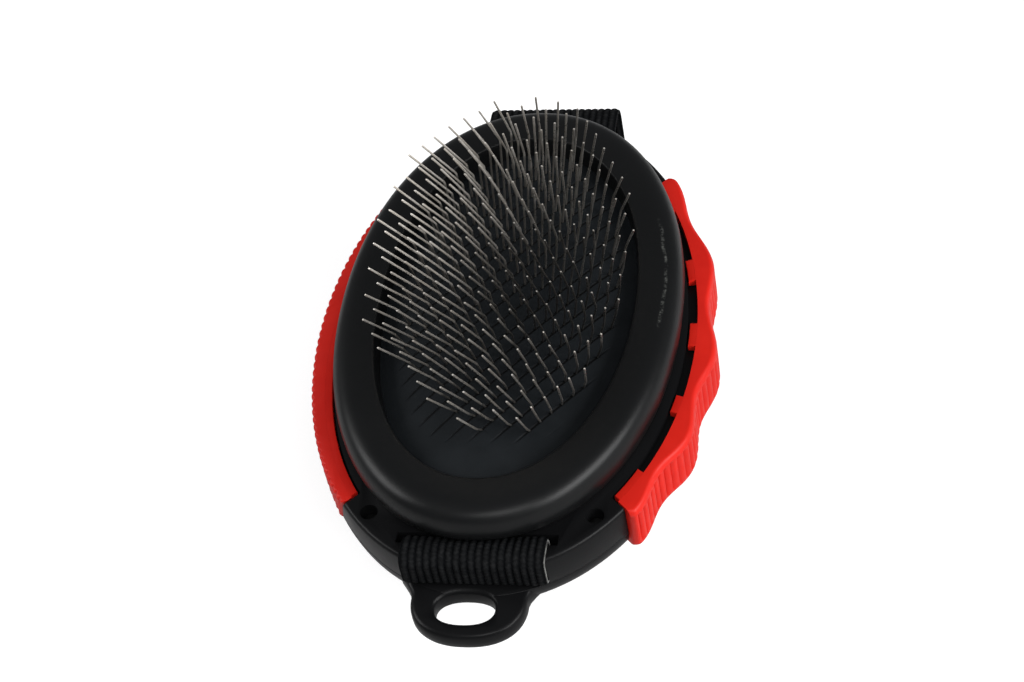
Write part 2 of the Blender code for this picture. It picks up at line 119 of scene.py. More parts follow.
def to_object(name, bm, material=None, smooth_angle=35):
    bmesh.ops.recalc_face_normals(bm, faces=bm.faces)
    mesh = bpy.data.meshes.new(name)
    bm.to_mesh(mesh)
    bm.free()
    obj = bpy.data.objects.new(name, mesh)
    bpy.context.scene.collection.objects.link(obj)
    if material:
        mesh.materials.append(material)
        mesh.shade_smooth()
        mesh.set_sharp_from_angle(angle=math.radians(smooth_angle))
    return obj


def loft(name, rings, material=None, closed=False, smooth_angle=35):
    bm = bmesh.new()
    add_loft(bm, rings, closed)
    return to_object(name, bm, material, smooth_angle)


def prism(name, outline, z0, z1, material=None):
    return loft(name, [[(x, y, z) for x, y in outline] for z in (z0, z1)], material)


def block(name, x, y, z):
    return prism(name, [(x[0], y[0]), (x[1], y[0]), (x[1], y[1]), (x[0], y[1])], z[0], z[1])


def disc(name, centre, radius, z0, z1, steps=40):
    turns = [2 * math.pi * i / steps for i in range(steps)]
    x, y = centre
    outline = [(x + radius * math.cos(t), y + radius * math.sin(t)) for t in turns]
    return prism(name, outline, z0, z1)


def carve(obj, tools, operation="DIFFERENCE"):
    """Joins or cuts with each tool, keeps the result and drops the tools."""
    for tool in tools:
        modifier = obj.modifiers.new(tool.name, "BOOLEAN")
        modifier.operation = operation
        modifier.solver = "EXACT"
        modifier.object = tool
    bake(obj)
    for tool in tools:
        bpy.data.objects.remove(tool)


def bake(obj):
    """Applies the object's modifiers."""
    bpy.context.view_layer.update()
    solid = obj.evaluated_get(bpy.context.evaluated_depsgraph_get())
    mesh = bpy.data.meshes.new_from_object(solid)
    obj.modifiers.clear()
    obj.data = mesh


def soften(obj, width=0.18, angle=38):
    """Rounds the moulded edges so that they catch light."""
    modifier = obj.modifiers.new("edges", "BEVEL")
    modifier.width = width * MM
    modifier.segments = 2
    modifier.limit_method = "ANGLE"
    modifier.angle_limit = math.radians(angle)
    modifier.use_clamp_overlap = True
    bake(obj)
    obj.data.shade_smooth()
    obj.data.set_sharp_from_angle(angle=math.radians(50))


def done(obj, body, slot, *nodes):
    """Ties a finished piece to its body and hides the CAD nodes that it stands for. The slot is not
    used.
    """
    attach(obj, body)
    if nodes:
        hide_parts(*nodes)
    return obj


def oval(a, b, power, steps):
    """A superellipse. A power of 2 is a plain ellipse."""
    points = []
    for i in range(steps):
        c, s = math.cos(2 * math.pi * i / steps), math.sin(2 * math.pi * i / steps)
        x = a * math.copysign(abs(c) ** (2 / power), c)
        y = b * math.copysign(abs(s) ** (2 / power), s)
        points.append((x, y))
    return points


def egg_point(degrees, offset):
    """A point on the shell's outline, or offset outside it."""
    t = math.radians(degrees)
    y = (BASE_B + offset) * math.sin(t)
    return (BASE_A + offset) * math.cos(t) * (1 + EGG * y / BASE_B), y + BASE_Y


def egg(offset, z, steps=180):
    return [(*egg_point(360 * i / steps, offset), z) for i in range(steps)]


def smooth_line(points, parts):
    """A Catmull-Rom line through the points."""
    points = [Vector(p) for p in points]
    ends = [2 * points[0] - points[1], *points, 2 * points[-1] - points[-2]]
    line = []
    for p0, p1, p2, p3 in zip(ends, ends[1:], ends[2:], ends[3:]):
        for i in range(parts):
            t = i / parts
            square = (2 * p0 - 5 * p1 + 4 * p2 - p3) * t * t
            cube = (3 * p1 - p0 - 3 * p2 + p3) * t**3
            line.append(0.5 * ((2 * p1) + (p2 - p0) * t + square + cube))
    line.append(points[-1])
    return line


# ---------- materials ----------

class Shader:
    """A Principled material with a few short-hands for its nodes."""

    def __init__(self, name, colour, roughness, **sockets):
        self.material = bpy.data.materials.new(name)
        self.material.use_nodes = True
        self.tree = self.material.node_tree
        self.main = self.tree.nodes["Principled BSDF"]
        self.set("Base Color", (*colour, 1.0))
        self.set("Roughness", roughness)
        for key, value in sockets.items():
            self.set(key.replace("_", " "), value)
        self.coordinates = self.node("ShaderNodeTexCoord").outputs["Object"]

    def node(self, kind, **settings):
        made = self.tree.nodes.new(kind)
        for key, value in settings.items():
            setattr(made, key, value)
        return made

    def set(self, socket, value):
        self.main.inputs[socket].default_value = value

    def link(self, output, target):
        self.tree.links.new(output, target)

    def noise(self, scale, detail=3.0, roughness=0.5, vector=None):
        made = self.node("ShaderNodeTexNoise")
        made.inputs["Scale"].default_value = scale
        made.inputs["Detail"].default_value = detail
        made.inputs["Roughness"].default_value = roughness
        self.link(vector or self.coordinates, made.inputs["Vector"])
        return made.outputs["Fac"]

    def ramp(self, value, stops):
        """A colour for each place along a value."""
        made = self.node("ShaderNodeValToRGB")
        elements = made.color_ramp.elements
        while len(elements) < len(stops):
            elements.new(0.5)
        for element, (position, colour) in zip(elements, stops):
            element.position = position
            element.color = (*colour, 1.0) if len(colour) == 3 else colour
        self.link(value, made.inputs["Fac"])
        return made.outputs["Color"]

    def grey(self, value, low, high, out_low, out_high):
        """The value moved from low..high to out_low..out_high, and held at those ends."""
        made = self.node("ShaderNodeMapRange")
        keys = ("From Min", "From Max", "To Min", "To Max")
        for key, number in zip(keys, (low, high, out_low, out_high)):
            made.inputs[key].default_value = number
        self.link(value, made.inputs["Value"])
        return made.outputs["Result"]

    def math(self, operation, a, b=None):
        made = self.node("ShaderNodeMath", operation=operation)
        for socket, value in zip(made.inputs, (a, b)):
            if value is None:
                continue
            if isinstance(value, (int, float)):
                socket.default_value = value
            else:
                self.link(value, socket)
        return made.outputs["Value"]

    def product(self, first, *others):
        for other in others:
            first = self.math("MULTIPLY", first, other)
        return first

    def square(self, value, centre, half):
        """((value - centre) / half) squared. The centre and half are in mm."""
        if centre:
            value = self.math("SUBTRACT", value, centre * MM)
        if half:
            value = self.math("DIVIDE", value, half * MM)
        return self.math("POWER", value, 2.0)

    def split(self, vector=None):
        parts = self.node("ShaderNodeSeparateXYZ")
        self.link(vector or self.coordinates, parts.inputs[0])
        return parts.outputs

    def bump(self, height, distance, strength=1.0, normal=None):
        made = self.node("ShaderNodeBump")
        made.inputs["Strength"].default_value = strength
        made.inputs["Distance"].default_value = distance
        self.link(height, made.inputs["Height"])
        if normal:
            self.link(normal, made.inputs["Normal"])
        self.link(made.outputs["Normal"], self.main.inputs["Normal"])
        return made.outputs["Normal"]

    def mix(self, factor, a, b):
        made = self.node("ShaderNodeMix", data_type="RGBA")
        self.link(factor, made.inputs[0])
        for socket, value in ((made.inputs[6], a), (made.inputs[7], b)):
            if isinstance(value, tuple):
                socket.default_value = (*value, 1.0)
            else:
                self.link(value, socket)
        return made.outputs[2]


def moulded_plastic(name, colour, roughness, gloss, specks, scuffed=False):
    """Black moulded plastic: fine grain, uneven sheen, a little dust and rubbed marks."""
    shader = Shader(name, colour, roughness, Specular_IOR_Level=gloss, IOR=1.3)
    sheen = shader.noise(55, 4, 0.6)
    uneven = shader.grey(sheen, 0.3, 0.7, roughness - 0.04, roughness + 0.07)
    shader.link(uneven, shader.main.inputs["Roughness"])
    grain = shader.noise(2600, 2, 0.5)
    soft = shader.noise(260, 3, 0.5)
    first = shader.bump(grain, 0.00003, 0.55)
    shader.bump(soft, 0.00008, 0.2, first)
    dust = shader.node("ShaderNodeTexVoronoi", feature="F1")
    dust.inputs["Scale"].default_value = 150
    dust.inputs["Randomness"].default_value = 1.0
    shader.link(shader.coordinates, dust.inputs["Vector"])
    spot = shader.grey(dust.outputs["Distance"], 0.03, 0.055, 1, 0)
    patchy = shader.grey(shader.noise(42, 2, 0.5), 0.58, 0.66, 0, specks)
    amount = shader.product(spot, patchy)
    if scuffed:
        amount = shader.math("MAXIMUM", amount, scuff_line(shader))
    tone = shader.mix(amount, colour, (0.26, 0.27, 0.25))
    shader.link(tone, shader.main.inputs["Base Color"])
    return shader.material


def scuff_line(shader):
    """A broken line of rub marks that follows the head's shoulder on the bumpy grip's side."""
    x, y, _ = shader.split()
    reach = shader.math("ADD", shader.square(x, 0, HEAD_A), shader.square(y, 0, HEAD_B))
    reach = shader.math("SQRT", reach)
    wander = shader.grey(shader.noise(160, 2), 0.3, 0.7, -0.006, 0.006)
    off = shader.math("SUBTRACT", shader.math("ADD", reach, wander), SCUFF_REACH)
    off = shader.math("ABSOLUTE", off)
    line = shader.grey(off, 0.003, 0.012, 1, 0)
    side = shader.grey(x, 0.0, 0.01, 0, 1)
    low = shader.grey(y, SCUFF_Y[0] * MM, (SCUFF_Y[0] + 3) * MM, 0, 1)
    high = shader.grey(y, (SCUFF_Y[1] - 3) * MM, SCUFF_Y[1] * MM, 1, 0)
    broken = shader.grey(shader.noise(900, 3, 0.8), 0.46, 0.66, 0, 0.3)
    return shader.product(line, side, shader.product(low, high), broken)


def red_rubber():
    """Satin red rubber of the side grips."""
    shader = Shader("grip_rubber", (0.62, 0.012, 0.006), 0.44, Specular_IOR_Level=0.22)
    tone = shader.noise(70, 4, 0.6)
    colour = shader.ramp(tone, [(0.3, (0.56, 0.010, 0.005)), (0.7, (0.66, 0.016, 0.008))])
    shader.link(colour, shader.main.inputs["Base Color"])
    uneven = shader.grey(shader.noise(240, 3), 0.3, 0.7, 0.38, 0.52)
    shader.link(uneven, shader.main.inputs["Roughness"])
    shader.bump(shader.noise(1900, 3, 0.6), 0.00004, 0.5)
    return shader.material


def pad_rubber():
    """Cushion rubber: matt, with a pressed crease along each row of wires, and painted shade that
    darkens the colour along each crease.
    """
    colour = (0.010, 0.012, 0.0145)
    shader = Shader("cushion_rubber", colour, 0.68, Specular_IOR_Level=0.3, IOR=1.3)
    x, y, _ = shader.split()
    slope = ROW_STEP[1] / ROW_STEP[0]
    first = ROW_ANCHOR[1] - slope * ROW_ANCHOR[0]
    across = shader.math("SUBTRACT", y, shader.product(x, slope))
    across = shader.math("SUBTRACT", across, first * MM)
    phase = shader.product(across, 1 / (ROW_PITCH * MM))
    wrapped = shader.math("PINGPONG", phase, 0.5)
    reach = shader.math("ADD", shader.square(x, 0, FIELD_A), shader.square(y, FIELD_Y, FIELD_B))
    edge = shader.grey(reach, 0.95, 1.12, 1, 0)
    inside = shader.product(edge, shader.grey(y, -0.037, -0.033, 0, 1))
    crease = shader.product(shader.grey(wrapped, 0.025, 0.09, 1, 0), inside)
    grain = shader.noise(1500, 4, 0.65)
    cloth = shader.noise(360, 2, 0.5)
    first_bump = shader.bump(grain, 0.00006, 0.6)
    second = shader.bump(cloth, 0.00010, 0.35, first_bump)
    shader.bump(shader.math("SUBTRACT", 1.0, crease), 0.0005, 0.9, second)
    tones = [(0.3, (0.0062, 0.0078, 0.0092)), (0.7, (0.0098, 0.0118, 0.0138))]
    tone = shader.ramp(shader.noise(120, 4), tones)
    # painted shade: the colour is darkened along each crease, on top of the crease's bump
    tone = shader.mix(shader.product(crease, 0.95), tone, (0.0008, 0.001, 0.0012))
    shader.link(tone, shader.main.inputs["Base Color"])
    return shader.material


def wire_steel():
    """Drawn steel wire with fine streaks, and painted shade that darkens it near its root, with a
    painted highlight at its tip.

    It is painted darker, as shade, towards the point set at the top, on the bumpy grip's side and
    at the loop's end."""
    shader = Shader("wire_steel", (0.85, 0.83, 0.80), 0.3, Metallic=0.6)
    streaks = shader.noise(900, 3)
    shader.link(shader.grey(streaks, 0.3, 0.7, 0.24, 0.4), shader.main.inputs["Roughness"])
    tones = [(0.3, (0.70, 0.64, 0.56)), (0.75, (0.96, 0.92, 0.86))]
    fine = shader.ramp(shader.noise(160, 3), tones)
    x, y, _ = shader.split()
    reach = shader.node("ShaderNodeAttribute", attribute_name="reach").outputs["Fac"]
    # painted shade: darker around a point, on the bumpy grip's side and towards the loop's end
    far = shader.math("ADD", shader.square(x, WIRE_SHADE_AT[0], 0), shader.square(y, WIRE_SHADE_AT[1], 0))
    near = shader.grey(shader.math("SQRT", far), 0.012, 0.032, 0.86, 0)
    side = shader.math("MAXIMUM", near, shader.grey(x, -0.022, 0.016, 0.12, 0.68))
    side = shader.math("MAXIMUM", side, shader.grey(y, -0.020, 0.008, 0.52, 0))
    # painted shade near each root, lessened by a painted highlight at each tip
    root = shader.grey(reach, 0.25, 0.65, 0.66, 0)
    tip = shader.grey(reach, 0.86, 1.0, 1, 0.55)
    painted_shade = shader.product(shader.math("MAXIMUM", side, root), tip)
    tone = shader.mix(painted_shade, fine, (0.055, 0.052, 0.050))
    shader.link(tone, shader.main.inputs["Base Color"])
    shader.link(shader.grey(painted_shade, 0, 0.8, 0.35, 0.9), shader.main.inputs["Metallic"])
    return shader.material


def webbing_cloth():
    """Ribbed polypropylene webbing, with painted shade in the valleys between its ribs. Its UV map
    is in millimetres: across, then along.
    """
    shader = Shader("webbing", (0.010, 0.010, 0.011), 0.8, IOR=1.15)
    uv = shader.node("ShaderNodeUVMap").outputs[0]
    u, v, _ = shader.split(uv)
    pitch = (STRAP_W - 2 * SELVEDGE_W) / STRAP_RIBS
    across = shader.math("DIVIDE", shader.math("ADD", u, STRAP_W / 2 - SELVEDGE_W), pitch)
    rib = shader.math("ABSOLUTE", shader.math("SINE", shader.product(across, math.pi)))
    uneven = shader.grey(shader.noise(0.8, 2, vector=uv), 0.3, 0.7, -0.35, 0.35)
    shift = shader.math("ADD", shader.product(shader.math("FLOOR", across), 0.5), uneven)
    along = shader.math("ADD", shader.math("DIVIDE", v, 0.95), shift)
    turn = shader.math("SINE", shader.product(along, 2 * math.pi))
    weave = shader.math("ADD", shader.product(turn, 0.14), rib)
    fibre = shader.noise(4, 4, 0.7, vector=uv)
    first = shader.bump(fibre, 0.00010, 0.6)
    shader.bump(weave, 0.00022, 0.8, first)
    # painted shade: darker in the valleys between ribs and the dips of the weave, lighter on the
    # crests; the patches are a random tone
    weave_shading = shader.grey(weave, 0.1, 1.2, 0, 1)
    patchy = shader.grey(shader.noise(0.6, 3, 0.6, vector=uv), 0.3, 0.7, 0.4, 1)
    tones = [(0.15, (0.0012, 0.0015, 0.0020)), (0.85, (0.0130, 0.0134, 0.0140))]
    colour = shader.ramp(shader.product(weave_shading, patchy), tones)
    shader.link(colour, shader.main.inputs["Base Color"])
    return shader.material


def selvedge_thread():
    """Pale flecked thread."""
    shader = Shader("selvedge_thread", (0.16, 0.16, 0.15), 0.7, Sheen_Weight=0.3)
    shader.bump(shader.noise(1800, 3), 0.00008, 0.8)
    tones = [(0.35, (0.015, 0.015, 0.014)), (0.65, (0.13, 0.13, 0.12))]
    tone = shader.ramp(shader.noise(500, 3), tones)
    shader.link(tone, shader.main.inputs["Base Color"])
    return shader.material


def fastener_cloth(name, scale):
    """The napped face of a hook or loop patch, painted darker in the low places of its nap as
    shade.
    """
    shader = Shader(name, (0.012, 0.012, 0.013), 0.9, Sheen_Weight=0.4)
    nap = shader.noise(scale, 4, 0.8)
    shader.bump(nap, 0.0004, 1.0)
    # painted shade: the colour follows the nap's bump, darker in its low places
    tone = shader.ramp(nap, [(0.35, (0.004, 0.004, 0.005)), (0.65, (0.035, 0.035, 0.037))])
    shader.link(tone, shader.main.inputs["Base Color"])
    return shader.material


def foam_cells():
    """Grey open-celled foam, painted darker in the pit of each cell as shade."""
    shader = Shader("foam_cells", (0.2, 0.2, 0.2), 0.95)
    cells = shader.node("ShaderNodeTexVoronoi")
    cells.inputs["Scale"].default_value = 900
    shader.link(shader.coordinates, cells.inputs["Vector"])
    shader.bump(cells.outputs["Distance"], 0.0005, 1.0)
    tones = [(0.1, (0.05, 0.05, 0.05)), (0.6, (0.26, 0.26, 0.26))]
    # painted shade: darker towards each cell's middle, where its bump makes a pit
    tone = shader.ramp(cells.outputs["Distance"], tones)
    shader.link(tone, shader.main.inputs["Base Color"])
    return shader.material


def screw_steel():
    """Steel with a black oxide finish."""
    shader = Shader("screw_black_oxide", (0.06, 0.06, 0.06), 0.35, Metallic=1.0)
    uneven = shader.grey(shader.noise(700, 3), 0.3, 0.7, 0.25, 0.5)
    shader.link(uneven, shader.main.inputs["Roughness"])
    tones = [(0.3, (0.04, 0.04, 0.04)), (0.7, (0.09, 0.09, 0.09))]
    tone = shader.ramp(shader.noise(300, 3), tones)
    shader.link(tone, shader.main.inputs["Base Color"])
    return shader.material


SHELL = moulded_plastic("shell_plastic", (0.0045, 0.0046, 0.0050), 0.34, 0.27, 0.35)
HEAD = moulded_plastic("head_plastic", (0.0050, 0.0053, 0.0056), 0.33, 0.46, 0.8, scuffed=True)
RED = red_rubber()
PAD = pad_rubber()
STEEL = wire_steel()
WEBBING = webbing_cloth()
SELVEDGE = selvedge_thread()


# ---------- shell ----------

def grip_start(side, z):
    """The angle where a grip begins. The plain grip's end leans back towards its bottom."""
    return GRIP_START + (0 if side > 0 else LEFT_SLANT * (TOP_Z - z) / TOP_Z)


def grip_pocket(side):
    """Cuts the room for a grip, a little wider than the grip."""
    spread, clear, beyond = 0.27, 0.08, 60
    rings = []
    for z in (-2, 0.4, 1.4, 5, 8, 11.0, TOP_Z, TOP_Z + 2):
        start, end = grip_start(side, z) - spread, GRIP_END + spread
        angles = [start + (end - start) * i / 60 for i in range(61)]
        inner = [egg_point(t, -GRIP_INSET - clear) for t in angles]
        low, high = egg_point(start, 8), egg_point(end, 8)
        outline = [*inner, high, (beyond, high[1]), (beyond, low[1]), low]
        rings.append([(side * x, y, z) for x, y in outline])
    return loft("cut_grip", rings)


def moat(side):
    """Cuts the channel in the shell's top that the grip's teeth lie in."""
    angles = [GRIP_START - 0.4 + (GRIP_END - GRIP_START + 0.8) * i / 60 for i in range(61)]
    outline = [egg_point(t, -1) for t in angles]
    outline += [egg_point(t, -4.3) for t in reversed(angles)]
    return prism("cut_moat", [(side * x, y) for x, y in outline], TOP_Z - MOAT_DEPTH, TOP_Z + 1)


def strap_slot(side):
    low, high = sorted((side * SLOT_Y[0], side * SLOT_Y[1]))
    return block("cut_slot", (-SLOT_HALF, SLOT_HALF), (low, high), (-1, TOP_Z + 3))


def end_flat(side, face_y):
    """Cuts the shell's end flat, where the webbing turns over it."""
    low, high = sorted((side * face_y, side * (face_y + 12)))
    return block("cut_flat", (-SLOT_HALF, SLOT_HALF), (low, high), (-2, TOP_Z + 1))


def screw_places():
    (front_x, front_y), (rear_x, rear_y) = FRONT_SCREWS, REAR_SCREWS
    return [(-front_x, -front_y), (front_x, -front_y), (-rear_x, rear_y), (rear_x, rear_y)]


def make_base():
    profile = ((-0.12, PARTING_Z + 0.04), (0, PARTING_Z + 0.12), (0, 11.0), (-0.07, 11.4),
               (-0.3, 11.75), (-0.62, 11.94), (-1.0, TOP_Z))
    base = loft("shell_upper", [egg(d, z) for d, z in profile], SHELL)
    outer = [[(x, y, z) for x, y in oval(32.6, 53.4, 2.0, 90)] for z in (11.0, 15.2)]
    inner = [[(x, y, z) for x, y in oval(27.8, 48.5, 2.0, 90)] for z in (15.2, 11.0)]
    carve(base, [loft("add_collar", outer + inner, closed=True)], "UNION")
    tools = [prism("cut_hollow", oval(30, 45, 2.0, 90), 4, FLOOR_Z)]
    for side in (-1, 1):
        tools += [grip_pocket(side), moat(side), strap_slot(side)]
    tools += [end_flat(-1, FRONT_FACE_Y), end_flat(1, REAR_FACE_Y)]
    tools.append(block("cut_entry", (-15.1, 14.3), (-66, -58), (4, 7.0)))
    for spot in screw_places():
        tools.append(disc("cut_bore", spot, 1.85, 7.6, TOP_Z + 1))
        tools.append(disc("cut_shank", spot, 1.1, 4, 8))
    carve(base, tools)
    soften(base)
    done(base, "brush", "shell_black", "base_frame")


def loop_outline(inset):
    """The hanging loop's outline, from its root on the shell and back."""
    half = LOOP_HALF - inset
    reach = LOOP_BELLY_Y - LOOP_END_Y - inset
    root = [(half + 2.9, -59.4), (half + 1.3, -61.6), (half + 0.35, -63.2)]
    points = [(LOOP_X - x, y) for x, y in root]
    for i in range(61):
        c, s = math.cos(math.pi * i / 60), math.sin(math.pi * i / 60)
        x = -half * math.copysign(abs(c) ** 0.87, c)
        points.append((LOOP_X + x, LOOP_BELLY_Y - reach * s**0.87))
    return points + [(LOOP_X + x, y) for x, y in reversed(root)]


def make_cover():
    profile = ((-3.4, 0), (-2.3, 0.12), (-1.5, 0.45), (-0.85, 1.1), (-0.4, 1.9), (-0.1, 3.2),
               (0, 4.2), (0, PARTING_Z - 0.08), (-0.12, PARTING_Z))
    cover = loft("shell_lower", [egg(d, z) for d, z in profile], SHELL)
    steps = ((0.05, 1.2), (0.2, 0.7), (0.6, 0.28), (1.2, 0.04), (2.2, 0), (3.3, 0.04),
             (3.85, 0.22), (4.2, 0.55), (4.36, 1.1))
    tongue = [[(x, y, z) for x, y in loop_outline(inset)] for z, inset in steps]
    carve(cover, [loft("add_tongue", tongue)], "UNION")
    eye = []
    for z, flare in ((-0.3, 1.1), (0.1, 0.55), (0.5, 0.22), (1.0, 0.02), (2.2, 0), (3.5, 0.02),
                     (3.95, 0.18), (4.25, 0.5), (4.7, 1.2)):
        outline = oval(EYE_HALF[0] + flare, EYE_HALF[1] + flare, 2.3, 90)
        eye.append([(EYE_AT[0] + x, EYE_AT[1] + y, z) for x, y in outline])
    tools = [loft("cut_eye", eye), prism("cut_cover_hollow", oval(29.5, 44.5, 2.0, 90), 2.2, 6)]
    for side in (-1, 1):
        tools += [grip_pocket(side), strap_slot(side)]
    tools.append(end_flat(1, REAR_FACE_Y))
    tools += [disc("cut_boss", spot, 1.05, 1.2, 6) for spot in screw_places()]
    carve(cover, tools)
    soften(cover, 0.1)
    done(cover, "brush", "shell_black", "back_cover")


def make_head():
    outer = ((-1.9, -2.26, 12.3), (-1.0, -1.25, 13.2), (-0.35, -0.45, 14.6), (0, 0, 16.8),
             (-0.25, -0.3, 18.9), (-0.9, -1.0, 20.3), (-1.9, -2.1, 21.25), (-3.2, -3.6, 21.8),
             (-4.8, -5.4, 22.0), (-6.6, -7.4, 21.95), (-8.6, -9.75, 21.8))
    inner = ((-9.1, -10.32, 21.72), (-9.28, -10.5, 21.6), (-9.36, -10.6, 21.35),
             (-9.5, -10.75, 20.6), (-9.8, -11.06, 17.1), (-7.6, -9.0, 17.0),
             (-7.3, -8.6, 19.8), (-3.2, -3.5, 18.9), (-2.9, -3.3, 12.3))
    profile = smooth_line(outer, 4) + [Vector(p) for p in inner]
    rings = []
    for da, db, z in profile:
        outline = oval(HEAD_A + da, HEAD_B + db, HEAD_POWER, 200)
        rings.append([(x, y, z) for x, y in outline])
    head = loft("head_ring", rings, HEAD, closed=True)
    tools = []
    for side, height in ((-1, 14.5), (1, 16.4)):
        low, high = sorted((side * 54.4, side * 66))
        tools.append(block("cut_notch", (-SLOT_HALF, SLOT_HALF), (low, high), (10, height)))
    carve(head, tools)
    head.data.shade_smooth()
    head.data.set_sharp_from_angle(angle=math.radians(42))
    done(head, "brush", "head_black", "head_bezel")


# ---------- grips ----------

def bump(degrees):
    """1 at a finger bump's crest and 0 in the hollow between two."""
    marks = GRIP_BUMPS
    if degrees <= marks[0] or degrees >= marks[-1]:
        return 1.0
    for low, high in zip(marks, marks[1:]):
        if low <= degrees <= high:
            return 0.5 + 0.5 * math.cos(2 * math.pi * (degrees - low) / (high - low))


def grip_reach(side, degrees):
    """How far a grip's face stands outside the shell's outline."""
    if side > 0:
        return 0.2 + 2.0 * bump(degrees)
    return 1.1 + 0.8 * math.sin(math.radians(degrees * 1.6))


def arc_length(side):
    """The length of a grip's outer face."""
    length = 0.0
    last = Vector(egg_point(GRIP_START, grip_reach(side, GRIP_START)))
    steps = 900
    for i in range(1, steps + 1):
        degrees = GRIP_START + (GRIP_END - GRIP_START) * i / steps
        here = Vector(egg_point(degrees, grip_reach(side, degrees)))
        length += (here - last).length
        last = here
    return length


def rib_levels(side):
    """Height, draw-in and rib strength up a grip.

    The bumpy grip's ribs stop in round tips below its smooth edge."""
    if side < 0:
        return [(0.4, 1.3, 0), (1.0, 0.35, 0.3), (1.6, 0.12, 1), (5, 0, 1), (9, 0, 1),
                (11.0, 0, 1), (11.5, 0.08, 1), (11.8, 0.25, 0.8), (11.95, 0.5, 0.5),
                (TOP_Z, 0.8, 0.15)]
    return [(0.4, 1.3, 0), (0.6, 0.8, 0), (1.0, 0.35, 0), (1.5, 0.15, 0.3), (2.2, 0.05, 1),
            (5.0, 0, 1), (8.4, 0, 1), (9.6, 0, 1), (10.0, 0, 0.95), (10.25, 0, 0.75),
            (10.42, 0, 0.4), (10.5, 0, 0.1), (10.6, 0.02, 0), (11.0, 0.1, 0), (11.4, 0.24, 0),
            (11.75, 0.48, 0), (11.95, 0.8, 0), (TOP_Z, 1.15, 0)]


def make_grip(name, side, node):
    """A ribbed grip with its flat teeth. Side 1 is the bumpy grip."""
    total = arc_length(side)
    ribs = round(total / RIB_PITCH)
    parts = 900
    rings = []
    for z, shrink, ribbed in rib_levels(side):
        start = grip_start(side, z)
        ring = []
        for k in range(parts + 1):
            degrees = start + (GRIP_END - start) * k / parts
            distance = total * (degrees - GRIP_START) / (GRIP_END - GRIP_START)
            edge = min(1, k / 16, (parts - k) / 16)
            wave = abs(math.sin(math.pi * ribs * distance / total)) ** 0.6
            reach = grip_reach(side, degrees) - shrink - RIB_DEPTH * (1 - wave) * ribbed
            ring.append((*egg_point(degrees, reach - 0.9 * (1 - edge) ** 2), z))
        back = [GRIP_END + (start - GRIP_END) * i / 60 for i in range(61)]
        ring += [(*egg_point(t, -GRIP_INSET), z) for t in back]
        rings.append([(side * x, y, z) for x, y, z in ring])
    bm = bmesh.new()
    add_loft(bm, rings)
    tooth_levels = ((TOP_Z - MOAT_DEPTH + 0.3, 0), (TOP_Z - 0.3, 0), (TOP_Z - 0.08, 0.08),
                    (TOP_Z - 0.02, 0.25))
    for low, high in RIGHT_TEETH if side > 0 else LEFT_TEETH:
        shapes = []
        steps = 12 + int(high - low)
        for z, inset in tooth_levels:
            turn = math.degrees(inset / BASE_B)
            span = high - low - 2 * turn
            there = [low + turn + span * k / steps for k in range(steps + 1)]
            back = [high - turn - span * k / steps for k in range(steps + 1)]
            outline = [egg_point(t, -1.5) for t in there]
            outline += [egg_point(t, -3.9 + inset) for t in back]
            shapes.append([(side * x, y, z) for x, y in outline])
        add_loft(bm, shapes)
    grip = to_object(name, bm, RED, 40)
    done(grip, "brush", "grip_red", node)


# ---------- cushion and pins ----------

def pad_top(x, y):
    """The height of the cushion's domed face."""
    reach = min(1.0, (x / PAD_A) ** 2 + (y / PAD_B) ** 2)
    return PAD_EDGE_Z + PAD_CROWN * (1 - reach**2)


def make_pad():
    """The domed sheet with its flange: the top skin, then the underside back to the first ring."""
    steps = 160
    rings = [[(x, y, 15.5) for x, y in oval(31.4, 52.2, 2, steps)],
             [(x, y, 16.7) for x, y in oval(31.4, 52.2, 2, steps)],
             [(x, y, 16.7) for x, y in oval(27.4, 48.1, 2, steps)]]
    for i in range(40):
        scale = 0.975 * (1 - i / 40.5)
        z = PAD_EDGE_Z + PAD_CROWN * (1 - scale**4)
        rings.append([(x, y, z) for x, y in oval(PAD_A * scale, PAD_B * scale, 2, steps)])
    top = len(rings)
    for scale in (0.05, 0.5, 0.8, 0.95):
        z = PAD_EDGE_Z + PAD_CROWN * (1 - scale**4) - PAD_THICK
        rings.append([(x, y, z) for x, y in oval(PAD_A * scale, PAD_B * scale, 2, steps)])
    upper, lower = rings[:top], rings[top:] + rings[:1]
    bm = bmesh.new()
    add_loft(bm, upper, cap=False)
    add_loft(bm, lower, cap=False)
    bmesh.ops.remove_doubles(bm, verts=bm.verts, dist=1e-7)
    bmesh.ops.holes_fill(bm, edges=[e for e in bm.edges if e.is_boundary], sides=steps)
    pad = to_object("cushion_pad", bm, PAD, 40)
    done(pad, "brush", "pad_rubber", "pin_pad")


